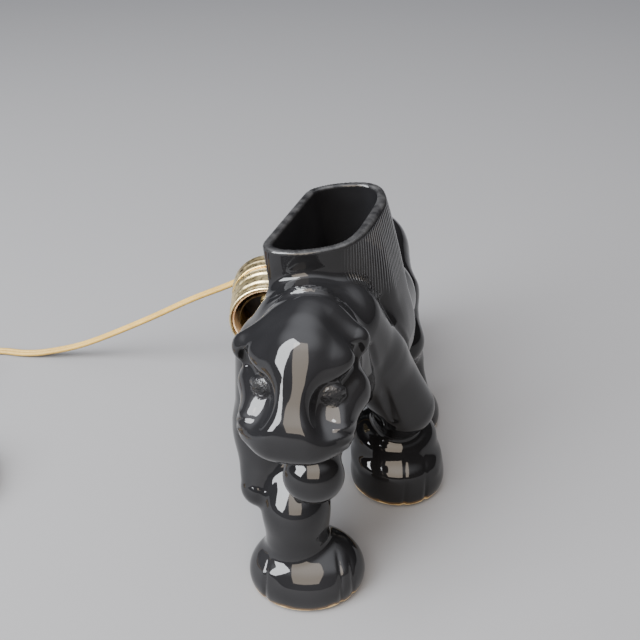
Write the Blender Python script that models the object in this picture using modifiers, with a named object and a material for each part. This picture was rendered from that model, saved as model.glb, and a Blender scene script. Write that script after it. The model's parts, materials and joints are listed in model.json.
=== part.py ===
"""A pottery panther television lamp: the glazed figure is also a planter, and its back carries a bracket with a
lamp socket. A flat two-core cord runs from the socket, through a thumb-wheel switch, to a coil and a plug.

The figure walks towards -X. Its left side, the side that people look at, faces -Y, and the socket is behind it at
+Y. The origin is on the surface it stands on, below the middle of the lamp without its cord. Lengths are written
in millimetres, and the constant MM turns them into metres.
"""

import math

import bmesh
import bpy
from mathutils import Matrix, Vector

MM = 0.001

# ---- driving dimensions, mm -----------------------------------------------------------------------------------
RIM_HEIGHT = 150.0  # top of the planter's wall
WALL = 4.5  # pottery wall of the planter
WELL_FLOOR = 62.0
PAD = 1.5  # felt under each paw
GAP = 0.3  # clearance between pieces that touch
SOLE_HEIGHT = PAD + GAP
BACK_FACE = 24.0  # y of the flat on the figure's back that carries the bracket
BACK_WALL = 4.9  # pottery between that flat and the well, at the bracket's bolt
BACK_LEAN_FROM = 104.0  # above this height the planter's back wall leans out to the rim
BACK_LEAN = 12.0  # how far it leans out, up to the rim
LAMP_SHIFT = (6.15, -12.35, 0.0)  # puts the middle of the lamp, without its cord, over the origin

SOCKET_MOUTH = Vector((-19.8, 44.1, 90.4))
SOCKET_TURN = 19.0  # degrees that the socket's axis turns away from the figure, towards its cap
SHELL_RADIUS = 18.0  # a standard lamp socket, outside of its metal shell
SHELL_LENGTH = 26.0
NIPPLE_RADIUS = 4.85  # the usual lamp pipe
BOLT_AT = Vector((2.0, BACK_FACE, 90.4))
BOLT_RADIUS = 2.0
STRIP = 1.6  # bracket's steel strip
STRIP_WIDTH = 16.0

CORD_WIDTH = 5.3  # across both cores
SWITCH_LENGTH = 58.0
COIL_RADIUS = 30.0  # middle of the turns
COIL_HALF_WIDTH = 6.4
COIL_HEIGHT = 11.6

SOCKET_AXIS = Vector((math.cos(math.radians(SOCKET_TURN)), math.sin(math.radians(SOCKET_TURN)), 0.0))


# ---- scene and helpers ----------------------------------------------------------------------------------------
def clear_scene():
    for thing in list(bpy.data.objects):
        bpy.data.objects.remove(thing, do_unlink=True)


def collection(name):
    made = bpy.data.collections.new(name)
    bpy.context.scene.collection.children.link(made)
    return made


def material(name, color, roughness, metallic=0.0):
    made = bpy.data.materials.new(name)
    made.use_nodes = True
    shader = made.node_tree.nodes["Principled BSDF"]
    shader.inputs["Base Color"].default_value = (*color, 1.0)
    shader.inputs["Roughness"].default_value = roughness
    shader.inputs["Metallic"].default_value = metallic
    return made


clear_scene()
LAMP = collection("panther_tv_lamp")
CUTTERS = collection("cutters")
STAND = bpy.data.objects.new("lamp_place", None)
LAMP.objects.link(STAND)
STAND.location = [d * MM for d in LAMP_SHIFT]
BLACK_GLAZE = material("black_glaze", (0.012, 0.012, 0.014), 0.05)
GILT = material("gilt_metal", (0.72, 0.58, 0.30), 0.28, 1.0)
STEEL = material("zinc_steel", (0.55, 0.55, 0.56), 0.35, 1.0)
BRASS = material("brass", (0.70, 0.52, 0.22), 0.3, 1.0)
BOARD = material("fibre_board", (0.62, 0.40, 0.20), 0.85)
PHENOLIC = material("phenolic", (0.03, 0.022, 0.02), 0.35)
CORD_VINYL = material("gold_vinyl", (0.66, 0.50, 0.20), 0.35)
BROWN = material("brown_plastic", (0.10, 0.045, 0.022), 0.3)
FELT = material("ochre_felt", (0.42, 0.30, 0.09), 0.95)


def add(name, mesh, finish, place=None):
    """Links a mesh as a lamp piece. Its material is set, and place is its matrix in millimetres."""
    made = bpy.data.objects.new(name, mesh)
    LAMP.objects.link(made)
    made.parent = STAND
    mesh.materials.clear()
    mesh.materials.append(finish)
    if place is not None:
        made.matrix_basis = scaled(place)
    return made


def scaled(place):
    """A matrix in millimetres as one in metres."""
    metres = place.copy()
    metres.translation = place.translation * MM
    return metres


def mesh_of(shape, name="mesh", smooth_angle=35.0):
    """A bmesh made in millimetres, as a mesh in metres."""
    bmesh.ops.scale(shape, vec=(MM, MM, MM), verts=shape.verts)
    mesh = bpy.data.meshes.new(name)
    shape.to_mesh(mesh)
    shape.free()
    mesh.shade_smooth()
    mesh.set_sharp_from_angle(angle=math.radians(smooth_angle))
    return mesh


def turned(name, profile, finish, place, sides=32):
    """A closed profile of (radius, height) points, in mm, turned about its local Z by a Screw modifier.

    The profile runs down the outer side and back up the inner side."""
    shape = bmesh.new()
    ring = [shape.verts.new((r, 0.0, z)) for r, z in profile]
    for i, start in enumerate(ring):
        shape.edges.new((start, ring[(i + 1) % len(ring)]))
    made = add(name, mesh_of(shape, name), finish, place)
    screw = made.modifiers.new("turn", "SCREW")
    screw.steps = screw.render_steps = sides
    screw.use_merge_vertices = True
    screw.merge_threshold = 0.00001
    screw.use_smooth_shade = True
    return made


def solid_turned(name, profile, finish, place, sides=32):
    """A turned piece with no bore: the profile starts and ends on the axis."""
    shape = bmesh.new()
    line = [shape.verts.new((r, 0.0, z)) for r, z in profile]
    for start, end in zip(line, line[1:]):
        shape.edges.new((start, end))
    made = add(name, mesh_of(shape, name), finish, place)
    screw = made.modifiers.new("turn", "SCREW")
    screw.steps = screw.render_steps = sides
    screw.use_merge_vertices = True
    screw.merge_threshold = 0.00001
    return made


def frame_along(origin, direction, side=Vector((0, 0, 1))):
    """A matrix at origin whose local Z runs along direction and whose local X is as near side as it can be."""
    z = direction.normalized()
    x = (side - side.dot(z) * z).normalized()
    y = z.cross(x)
    return Matrix((
        (x.x, y.x, z.x, origin.x),
        (x.y, y.y, z.y, origin.y),
        (x.z, y.z, z.z, origin.z),
        (0, 0, 0, 1),
    ))


def box_shape(size, centre=(0, 0, 0), bevel=0.0, segments=2):
    """A bmesh box in mm with rounded edges."""
    shape = bmesh.new()
    bmesh.ops.create_cube(shape, size=1.0)
    bmesh.ops.scale(shape, vec=size, verts=shape.verts)
    bmesh.ops.translate(shape, vec=centre, verts=shape.verts)
    if bevel:
        edges = shape.edges[:]
        bmesh.ops.bevel(shape, geom=edges, offset=bevel, segments=segments, affect="EDGES", profile=0.5)
    return shape


def cylinder_mesh(radius, length, sides=24):
    """A closed cylinder in mm about local Z, centred on its origin."""
    shape = bmesh.new()
    bmesh.ops.create_cone(shape, cap_ends=True, segments=sides, radius1=radius, radius2=radius, depth=length)
    return mesh_of(shape)


def cutter(name, mesh, place=None):
    """A helper solid that is not a piece of the lamp."""
    made = bpy.data.objects.new(name, mesh)
    CUTTERS.objects.link(made)
    made.hide_render = True
    made.display_type = "WIRE"
    made.parent = STAND
    if place is not None:
        made.matrix_basis = scaled(place)
    return made


def boolean(target, other, operation):
    modifier = target.modifiers.new(f"{operation.lower()}_{other.name}", "BOOLEAN")
    modifier.operation = operation
    modifier.object = other
    modifier.solver = "EXACT"


def baked(thing):
    """The evaluated mesh of an object, in its own space."""
    bpy.context.view_layer.update()
    graph = bpy.context.evaluated_depsgraph_get()
    return bpy.data.meshes.new_from_object(thing.evaluated_get(graph))


# ---- the figure -----------------------------------------------------------------------------------------------
# Each muscle is a tapered limb between two balls: (x, y, z, radius) to (x, y, z, radius), in mm.
TRUNK = [
    ((-46, 12, 92, 26), (0, 8, 76, 25)),
    ((0, 8, 76, 25), (58, 17, 82, 25)),
    ((58, 17, 82, 25), (71, 18, 88, 25)),
    ((-62, 8, 112, 26), (-46, 12, 96, 26)),
    ((-50, 8, 100, 27), (-52, 8, 74, 22)),
]
HEAD = [
    ((-88, 2, 124, 20), (-86, 3, 122, 22)),
    ((-92, 0, 120, 21), (-62, 8, 114, 24)),
    ((-98, 9, 132, 9), (-102, -9, 132, 9)),
    ((-100, 4, 130, 9), (-115, -4, 116, 8)),
    ((-102, 12, 107, 11), (-107, -14, 107, 11)),
    ((-94, 15, 110, 11), (-98, -17, 110, 11)),
    ((-101, -8, 84, 12), (-102, -6, 90, 12)),
    ((-98, -5, 88, 13), (-72, 4, 98, 19)),
]
EARS = [
    ((-86, 18, 130, 6), (-86, 27, 124, 5)),
    ((-74, -14, 133, 6), (-74, -18, 129, 5)),
]
FORE_RIGHT = [
    ((-60, 20, 104, 22), (-66, 20, 66, 17)),
    ((-66, 20, 66, 17), (-82, 4, 40, 12)),
    ((-82, 4, 40, 12), (-86, 2, 22, 13)),
    ((-66, 22, 62, 14), (-84, 12, 28, 12)),
]
FORE_LEFT = [
    ((-46, -2, 116, 20), (-31, -9, 90, 18)),
    ((-31, -9, 90, 18), (-20, -27, 55, 15)),
    ((-20, -27, 55, 15), (-8, -25, 28, 14)),
]
HIND_LEFT = [
    ((66, 12, 86, 20), (24, -14, 62, 12)),
    ((24, -14, 62, 12), (52, -13, 34, 11)),
    ((52, -13, 34, 11), (42, -23, 15, 11)),
]
HIND_RIGHT = [
    ((68, 26, 78, 22), (40, 36, 46, 13)),
    ((40, 36, 46, 13), (64, 38, 26, 10)),
    ((64, 38, 26, 10), (52, 40, 14, 11)),
]
TAIL = [
    ((88, 17, 98, 9), (102, 20, 72, 8)),
    ((102, 20, 72, 8), (98, 29, 38, 7.5)),
    ((98, 29, 38, 7.5), (86, 41, 14, 8)),
    ((86, 41, 14, 8), (62, 50, 11, 9)),
]
# The casting is hollow in front of and behind the planter. Each hollow has a vent hole in the figure's underside.
HOLLOWS = [
    ((-68, 7, 110, 14), (-86, 2, 122, 13)),
    ((48, 6, 84, 13), (76, 13, 88, 15)),
]
VENTS = [(-60, -3, 77), (56, 8, 60)]
# Each paw is an oval cushion: centre, half sizes across, along and up, and the direction it points in degrees.
PAWS = {
    "front_right": ((-88, 1, 12), (27, 21, 15), 18),
    "front_left": ((-12, -25, 12), (24, 21, 15), 18),
    "hind_left": ((36, -21, 9), (16, 19, 12), 8),
    "hind_right": ((46, 41, 9), (15, 20, 12), -6),
}


def ball_points(centre, radius):
    """Points spread evenly over a ball."""
    ball = bmesh.new()
    bmesh.ops.create_icosphere(ball, subdivisions=2, radius=radius, matrix=Matrix.Translation(centre))
    points = [v.co.copy() for v in ball.verts]
    ball.free()
    return points


def limb(shape, start, end):
    """Adds the hull of two balls to a bmesh."""
    points = ball_points(start[:3], start[3]) + ball_points(end[:3], end[3])
    hull = bmesh.ops.convex_hull(shape, input=[shape.verts.new(p) for p in points])
    inside = {g for g in hull["geom_interior"] + hull["geom_unused"] if isinstance(g, bmesh.types.BMVert)}
    bmesh.ops.delete(shape, geom=list(inside), context="VERTS")


def paw(shape, centre, half, turn):
    """Adds an oval paw whose along-axis points at -X turned by turn degrees about Z."""
    place = (
        Matrix.Translation(centre)
        @ Matrix.Rotation(math.radians(turn), 4, "Z")
        @ Matrix.Diagonal((half[1], half[0], half[2], 1.0))
    )
    bmesh.ops.create_icosphere(shape, subdivisions=3, radius=1.0, matrix=place)


# The planter's plan outline at the rim, outside of the wall, as corner points with their rounding radius.
RIM_CORNERS = [(-57, 36, 13), (-56, 10, 14), (-38, -6, 16), (16, -7, 18), (29, 14, 16), (20, 35.5, 18)]


def rounded_outline(corners, points_per_corner=4):
    """A closed outline through filleted corners, as (x, y) points."""
    outline = []
    count = len(corners)
    for i, (x, y, radius) in enumerate(corners):
        corner = Vector((x, y))
        to_last = (Vector(corners[i - 1][:2]) - corner).normalized()
        to_next = (Vector(corners[(i + 1) % count][:2]) - corner).normalized()
        half_angle = to_last.angle(to_next) / 2
        centre = corner + (to_last + to_next).normalized() * radius / math.sin(half_angle)
        first = corner + to_last * radius / math.tan(half_angle) - centre
        last = corner + to_next * radius / math.tan(half_angle) - centre
        for k in range(points_per_corner):
            share = k / (points_per_corner - 1)
            arm = first.lerp(last, share).normalized() * radius
            outline.append(centre + arm)
    return outline


def planter_section(z, inset):
    """The planter's outline at height z, moved in by inset: the wall leans in a little below the rim."""
    lean_back = BACK_LEAN * min(1.0, (RIM_HEIGHT - z) / (RIM_HEIGHT - BACK_LEAN_FROM))
    lean_front = 3.0 * (RIM_HEIGHT - z) / 60.0
    section = []
    for point in rounded_outline(RIM_CORNERS):
        x, y = point
        y -= lean_back * max(0.0, (y - 14.0) / 22.0)
        x += lean_front * max(0.0, (-14.0 - x) / 43.0)
        section.append(Vector((x, y)))
    middle = Vector((-14.0, 14.0 - 0.5 * lean_back))
    half = Vector((43.0, 21.0 - 0.5 * lean_back))
    return [
        Vector((
            middle.x + (point.x - middle.x) * (1.0 - inset / half.x),
            middle.y + (point.y - middle.y) * (1.0 - inset / half.y),
        ))
        for point in section
    ]


def loft(sections):
    """A closed bmesh through (z, outline) sections of equal point counts."""
    shape = bmesh.new()
    rings = [[shape.verts.new((p.x, p.y, z)) for p in outline] for z, outline in sections]
    count = len(rings[0])
    for low, high in zip(rings, rings[1:]):
        for i in range(count):
            j = (i + 1) % count
            shape.faces.new((low[i], low[j], high[j], high[i]))
    shape.faces.new(list(reversed(rings[0])))
    shape.faces.new(rings[-1])
    bmesh.ops.recalc_face_normals(shape, faces=shape.faces[:])
    return shape


def figure_blank():
    """The muscles and the planter's outside, fused and smoothed by a voxel remesh."""
    shape = bmesh.new()
    for group in (TRUNK, HEAD, EARS, FORE_RIGHT, FORE_LEFT, HIND_LEFT, HIND_RIGHT, TAIL):
        for start, end in group:
            limb(shape, start, end)
    for centre, half, turn in PAWS.values():
        paw(shape, centre, half, turn)
    mesh = mesh_of(shape, "figure_muscles")
    heights = (76, 95, 115, 135, RIM_HEIGHT)
    walls = mesh_of(loft([(z, planter_section(z, 0.0)) for z in heights]), "planter_outside")
    both = bmesh.new()
    both.from_mesh(mesh)
    both.from_mesh(walls)
    joined = bpy.data.meshes.new("figure_blank")
    both.to_mesh(joined)
    both.free()
    return joined


def socket_bay():
    """The bay that the socket sits in: a box with rounded edges, whose inner face follows the planter's back wall."""
    depth = 50.0
    shape = box_shape((106, depth, 66), (5, BACK_FACE + depth / 2, 97), 8.0, 3)
    bmesh.ops.bisect_plane(
        shape, geom=shape.verts[:] + shape.edges[:] + shape.faces[:],
        plane_co=(0, 0, BACK_LEAN_FROM), plane_no=(0, 0, 1),
    )
    for v in shape.verts:
        if v.co.z > BACK_LEAN_FROM and v.co.y < BACK_FACE + depth / 2:
            v.co.y += BACK_LEAN * (v.co.z - BACK_LEAN_FROM) / (RIM_HEIGHT - BACK_LEAN_FROM)
    return shape


def ceramic():
    """The hollow pottery casting: figure, planter well, flat soles, cavity with its vent, and the bracket's hole."""
    blank = cutter("figure_blank", figure_blank())
    remesh = blank.modifiers.new("fuse", "REMESH")
    remesh.mode = "VOXEL"
    remesh.voxel_size = 3.0 * MM
    remesh.adaptivity = 0.0
    smooth = blank.modifiers.new("soften", "SMOOTH")
    smooth.factor = 0.5
    smooth.iterations = 6
    thin = blank.modifiers.new("thin", "DECIMATE")
    thin.ratio = 0.19
    made = add("ceramic_panther", baked(blank), BLACK_GLAZE)

    top = cutter("rim_plane", mesh_of(box_shape((300, 200, 60), (0, 0, RIM_HEIGHT + 30))))
    floor = cutter("sole_plane", mesh_of(box_shape((400, 300, 60), (0, 0, SOLE_HEIGHT - 30))))
    well = cutter(
        "well",
        mesh_of(loft([
            (WELL_FLOOR, planter_section(WELL_FLOOR + 25, WALL + 6)),
            (WELL_FLOOR + 12, planter_section(WELL_FLOOR + 12, WALL)),
            (104, planter_section(104, WALL)),
            (135, planter_section(135, WALL)),
            (RIM_HEIGHT + 10, planter_section(RIM_HEIGHT, WALL)),
        ])),
    )
    bay = cutter("socket_bay", mesh_of(socket_bay()))
    outward = frame_along(BOLT_AT, Vector((0, 1, 0)))
    bolt_hole = cutter("bolt_hole", cylinder_mesh(BOLT_RADIUS + 0.4, 30, 16), outward)
    hollow = bmesh.new()
    for start, end in HOLLOWS:
        limb(hollow, start, end)
    hollow = cutter("hollows", mesh_of(hollow))
    vents = bmesh.new()
    for x, y, z in VENTS:
        bmesh.ops.create_cone(
            vents, cap_ends=True, segments=16, radius1=3.5, radius2=3.5, depth=60,
            matrix=Matrix.Translation((x, y, z)),
        )
    vents = cutter("vents", mesh_of(vents))
    boolean(made, top, "DIFFERENCE")
    boolean(made, floor, "DIFFERENCE")
    boolean(made, bay, "DIFFERENCE")
    boolean(made, well, "DIFFERENCE")
    boolean(made, hollow, "DIFFERENCE")
    boolean(made, vents, "DIFFERENCE")
    boolean(made, bolt_hole, "DIFFERENCE")
    return made


def felt_pads():
    """A thin oval pad under each paw, as large as the flat sole."""
    for name, (centre, half, turn) in PAWS.items():
        drop = centre[2] - SOLE_HEIGHT
        share = math.sqrt(1.0 - (drop / half[2]) ** 2)
        shape = bmesh.new()
        bmesh.ops.create_cone(shape, cap_ends=True, segments=20, radius1=1.0, radius2=1.0, depth=1.0)
        bmesh.ops.scale(shape, vec=(half[1] * share, half[0] * share, PAD), verts=shape.verts)
        place = Matrix.Translation((centre[0], centre[1], PAD / 2)) @ Matrix.Rotation(math.radians(turn), 4, "Z")
        add(f"felt_pad_{name}", mesh_of(shape), FELT, place)


# ---- socket ---------------------------------------------------------------------------------------------------
# The socket's own frame: its origin is the middle of the mouth, local Z runs to the cap and local X is up.
SOCKET = frame_along(SOCKET_MOUTH, SOCKET_AXIS)


def ring_profile(outer, inner, start, end):
    """A plain tube's profile, down the outer side and up the inner side."""
    return [(outer, end), (outer, start), (inner, start), (inner, end)]


def socket():
    """Gilt shell and cap, board liner, threaded shell, phenolic core, contact and terminal screws."""
    r = SHELL_RADIUS
    turned("socket_shell", [
        (r, SHELL_LENGTH), (r, 17.6), (r + 0.7, 16.8), (r + 0.7, 15.4), (r, 14.6), (r, 9.4), (r + 0.7, 8.6),
        (r + 0.7, 7.2), (r, 6.4), (r, 1.6), (r + 0.5, 0.8), (r, 0.0), (r - 0.6, 0.4), (r - 0.6, SHELL_LENGTH),
    ], GILT, SOCKET, 28)
    turned("shell_liner", ring_profile(r - 0.9, r - 1.9, 1.0, 30.0), BOARD, SOCKET, 28)
    cap = turned("socket_cap", [
        (7.4, 47.0), (7.6, 41.4), (12.4, 40.0), (17.0, 37.0), (r + 0.9, 33.2), (r + 0.9, 23.4), (r + 0.6, 22.5),
        (r + 0.3, 22.6), (r + 0.3, 32.8), (16.2, 36.2), (11.8, 39.2), (5.2, 40.4), (5.2, 47.0),
    ], GILT, SOCKET, 28)
    set_hole = cutter("set_screw_hole", cylinder_mesh(1.7, 8, 12), SOCKET @ at_height(7.0, 44.0))
    boolean(cap, set_hole, "DIFFERENCE")
    turned("cap_insulator", ring_profile(15.6, 5.4, 32.6, 33.6), BOARD, SOCKET, 20)
    turned("socket_core", ring_profile(r - 2.3, 2.3, 20.0, 29.5), PHENOLIC, SOCKET, 24)
    turns = 5
    thread = [(13.5 + 0.45 * (-1) ** k, 19.6 - 16.6 * k / (2 * turns)) for k in range(2 * turns + 1)]
    bore = [(radius - 0.5, height) for radius, height in reversed(thread)]
    turned("screw_shell", thread + bore, BRASS, SOCKET, 22)
    solid_turned("centre_contact", [
        (0.0, 30.6), (3.0, 30.4), (3.0, 29.8), (1.9, 29.8), (1.9, 19.7), (4.2, 19.7), (4.2, 18.8), (0.0, 17.6),
    ], BRASS, SOCKET, 14)
    for name, side in (("terminal_screw_a", 1), ("terminal_screw_b", -1)):
        place = SOCKET @ Matrix.Translation((0.0, 9.5 * side, 29.8))
        screw = solid_turned(name, [(0.0, 2.2), (2.4, 2.2), (3.2, 1.5), (3.2, 0.0), (0.0, 0.0)], BRASS, place, 12)
        slot = cutter(name + "_slot", mesh_of(box_shape((9, 0.8, 1.6), (0, 0, 2.2))), place)
        boolean(screw, slot, "DIFFERENCE")
    place = SOCKET @ at_height(0.0, 44.0)
    screw = solid_turned(
        "hub_set_screw", [(0.0, 9.8), (2.3, 9.8), (2.6, 9.3), (2.6, 7.8), (1.4, 7.8), (1.4, 5.2), (0.0, 5.2)],
        STEEL, place, 12,
    )
    slot = cutter("hub_set_screw_slot", mesh_of(box_shape((9, 0.7, 1.4), (0, 0, 9.8))), place)
    boolean(screw, slot, "DIFFERENCE")


def at_height(up, along):
    """A place in the socket's frame whose own Z points up, away from the socket's axis."""
    return Matrix.Translation((up, 0.0, along)) @ Matrix.Rotation(math.radians(90), 4, "Y")


def socket_mounting():
    """Pipe nipple, its washer and locknut, and the insulating bushing that the cord comes out of."""
    turned("socket_nipple", ring_profile(NIPPLE_RADIUS, 3.9, 42.6, 56.5), STEEL, SOCKET, 18)
    turned("nipple_washer", ring_profile(8.0, 5.2, 47.3, 48.1), BOARD, SOCKET, 20)
    nut = bmesh.new()
    bmesh.ops.create_cone(nut, cap_ends=True, segments=6, radius1=8.2, radius2=8.2, depth=3.0)
    nut = add("nipple_locknut", mesh_of(nut), STEEL, SOCKET @ Matrix.Translation((0, 0, 51.8)))
    bore = cutter("locknut_bore", cylinder_mesh(5.2, 8, 18), SOCKET @ Matrix.Translation((0, 0, 51.8)))
    boolean(nut, bore, "DIFFERENCE")
    turned("cord_bushing", [
        (5.4, 58.4), (5.8, 57.9), (5.8, 56.8), (3.6, 56.8), (3.6, 50.0), (3.05, 50.0), (3.05, 58.4),
    ], PHENOLIC, SOCKET, 16)


def bracket():
    """A bent steel strip: its foot is bolted to the planter's back wall, and its arm holds the nipple."""
    middle = BACK_FACE + 2 * GAP + 0.8 + STRIP / 2
    arm_middle = SOCKET_MOUTH + SOCKET_AXIS * 49.2
    across = Vector((-SOCKET_AXIS.y, SOCKET_AXIS.x, 0.0))
    corner = arm_middle + across * ((middle - arm_middle.y) / across.y)
    line = [Vector((BOLT_AT.x - 9.0, middle, 0.0)), corner - Vector((5.0, 0.0, 0.0))]
    for k in range(1, 6):
        t = k / 6
        line.append((1 - t) ** 2 * line[1] + 2 * t * (1 - t) * corner + t ** 2 * (corner + 5.0 * across))
    line += [corner + 5.0 * across, arm_middle + across * 9.5]
    shape = bmesh.new()
    row = [shape.verts.new((p.x, p.y, BOLT_AT.z - STRIP_WIDTH / 2)) for p in line]
    edges = [shape.edges.new(pair) for pair in zip(row, row[1:])]
    raised = bmesh.ops.extrude_edge_only(shape, edges=edges)["geom"]
    tops = [v for v in raised if isinstance(v, bmesh.types.BMVert)]
    bmesh.ops.translate(shape, vec=(0, 0, STRIP_WIDTH), verts=tops)
    made = add("socket_bracket", mesh_of(shape), STEEL)
    thick = made.modifiers.new("thickness", "SOLIDIFY")
    thick.thickness = STRIP * MM
    thick.offset = 0.0
    thick.use_even_offset = True
    foot_hole = cutter("foot_hole", cylinder_mesh(BOLT_RADIUS + 0.4, 10, 14),
                       frame_along(Vector((BOLT_AT.x, middle, BOLT_AT.z)), Vector((0, 1, 0))))
    arm_hole = cutter("arm_hole", cylinder_mesh(NIPPLE_RADIUS + 0.4, 10, 18),
                      SOCKET @ Matrix.Translation((0, 0, 49.2)))
    boolean(made, foot_hole, "DIFFERENCE")
    boolean(made, arm_hole, "DIFFERENCE")


def bracket_bolt():
    """Pan-head bolt from outside through the pottery wall, with a nut and washer inside of the planter."""
    outward = frame_along(BOLT_AT, Vector((0, 1, 0)))
    turned("outer_washer", ring_profile(6.0, 2.3, GAP, GAP + 0.8), BOARD, outward, 18)
    head = 2 * GAP + 0.8 + STRIP + GAP
    bolt = solid_turned("bracket_bolt", [
        (0.0, head + 2.2), (2.6, head + 2.0), (3.9, head + 1.2), (3.9, head), (BOLT_RADIUS, head),
        (BOLT_RADIUS, -11.6), (BOLT_RADIUS - 0.5, -12.2), (0.0, -12.2),
    ], STEEL, outward, 16)
    slot = cutter("bolt_slot", mesh_of(box_shape((10, 0.9, 1.8), (0, 0, head + 2.2))), outward)
    boolean(bolt, slot, "DIFFERENCE")
    turned("inner_washer", ring_profile(6.0, 2.3, -BACK_WALL - GAP - 1.0, -BACK_WALL - GAP), BOARD, outward, 18)
    middle = Matrix.Translation((0, 0, -BACK_WALL - 2 * GAP - 1.0 - 1.6))
    nut = bmesh.new()
    bmesh.ops.create_cone(nut, cap_ends=True, segments=6, radius1=4.3, radius2=4.3, depth=3.2)
    nut = add("bracket_nut", mesh_of(nut), STEEL, outward @ middle)
    bore = cutter("nut_bore", cylinder_mesh(BOLT_RADIUS + 0.35, 8, 14), outward @ middle)
    boolean(nut, bore, "DIFFERENCE")


# ---- cord, switch and plug ------------------------------------------------------------------------------------
CORD_RADIUS = CORD_WIDTH / 2
ON_FLOOR = CORD_RADIUS + GAP
CORD_START = SOCKET_MOUTH + SOCKET_AXIS * (58.4 + GAP)


def smooth_line(points, step):
    """Points about step apart on a smooth curve through the given points."""
    padded = [2 * points[0] - points[1]] + points + [2 * points[-1] - points[-2]]
    fine = []
    for a, b, c, d in zip(padded, padded[1:], padded[2:], padded[3:]):
        for k in range(24):
            t = k / 24
            fine.append(0.5 * (
                2 * b + (c - a) * t + (2 * a - 5 * b + 4 * c - d) * t * t + (3 * b - a - 3 * c + d) * t ** 3
            ))
    fine.append(points[-1])
    length = sum((q - p).length for p, q in zip(fine, fine[1:]))
    count = max(2, round(length / step))
    line, travelled, k = [fine[0]], 0.0, 1
    for p, q in zip(fine, fine[1:]):
        span = (q - p).length
        while k < count and travelled + span >= length * k / count:
            line.append(p.lerp(q, (length * k / count - travelled) / span))
            k += 1
        travelled += span
    return line + [fine[-1]]


def cord_tube(name, points, step=14.0):
    """A round tube as wide as the flat cord, along a smooth line through the points."""
    curve = bpy.data.curves.new(name, "CURVE")
    curve.dimensions = "3D"
    curve.bevel_depth = CORD_RADIUS * MM
    curve.bevel_resolution = 2
    curve.use_fill_caps = True
    line = smooth_line(points, step)
    spline = curve.splines.new("POLY")
    spline.points.add(len(line) - 1)
    for dot, p in zip(spline.points, line):
        dot.co = (*(p * MM), 1.0)
    made = bpy.data.objects.new(name, curve)
    LAMP.objects.link(made)
    made.parent = STAND
    curve.materials.append(CORD_VINYL)
    return made


# The lead leaves the bushing, sags to the floor and bends round to the switch.
LEAD_ROUTE = [
    CORD_START, Vector((40.6, 65.6, 90.0)), Vector((45.4, 69.6, 86.4)), Vector((48.5, 76.3, 79.0)),
    Vector((49.4, 84.9, 71.0)), Vector((48.7, 95.0, 64.0)), Vector((44.8, 120.0, 51.5)), Vector((39.6, 148.8, 34.7)),
    Vector((31.1, 191.3, 12.8)), Vector((24.5, 218.5, 5.2)), Vector((20.6, 235.0, 3.3)), Vector((18.5, 250.0, 3.1)),
    Vector((13.0, 264.0, 3.3)), Vector((4.2, 270.6, 4.8)), Vector((-6.5, 272.2, 7.0)), Vector((-14.9, 269.8, 7.8)),
]
SWITCH_MIDDLE = Vector((-43.3, 260.5, 7.8))
SWITCH_TURN = 198.0  # degrees from +X to the way that the cord runs through it
LINK_ROUTE = [
    Vector((-71.7, 251.3, 7.8)), Vector((-75.5, 250.1, 7.4)), Vector((-80.3, 248.5, 5.6)),
    Vector((-85.4, 246.8, 3.7)), Vector((-90.4, 245.2, ON_FLOOR)),
]
COIL_MIDDLE = Vector((-104.4, 209.1, GAP))
TAIL_ROUTE = [Vector((-110.7, 247.4, 9.2)), Vector((-118.8, 252.1, 8.5)), Vector((-129.2, 258.0, 7.6))]
PLUG_MIDDLE = Vector((-141.1, 264.9, 7.6))
PLUG_TURN = 150.0


def slab(size, corner, rim=0.0, rim_at=1):
    """A box in mm about its middle with rounded upright edges, and its top or bottom rim eased by rim."""
    shape = box_shape(size)
    upright = [e for e in shape.edges if abs(e.verts[0].co.z - e.verts[1].co.z) > size[2] / 2]
    bmesh.ops.bevel(shape, geom=upright, offset=corner, segments=4, affect="EDGES", profile=0.5)
    if rim:
        face = max(shape.faces, key=lambda f: f.calc_center_median().z * rim_at)
        bmesh.ops.bevel(shape, geom=list(face.edges), offset=rim, segments=2, affect="EDGES", profile=0.5)
    return shape


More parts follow.
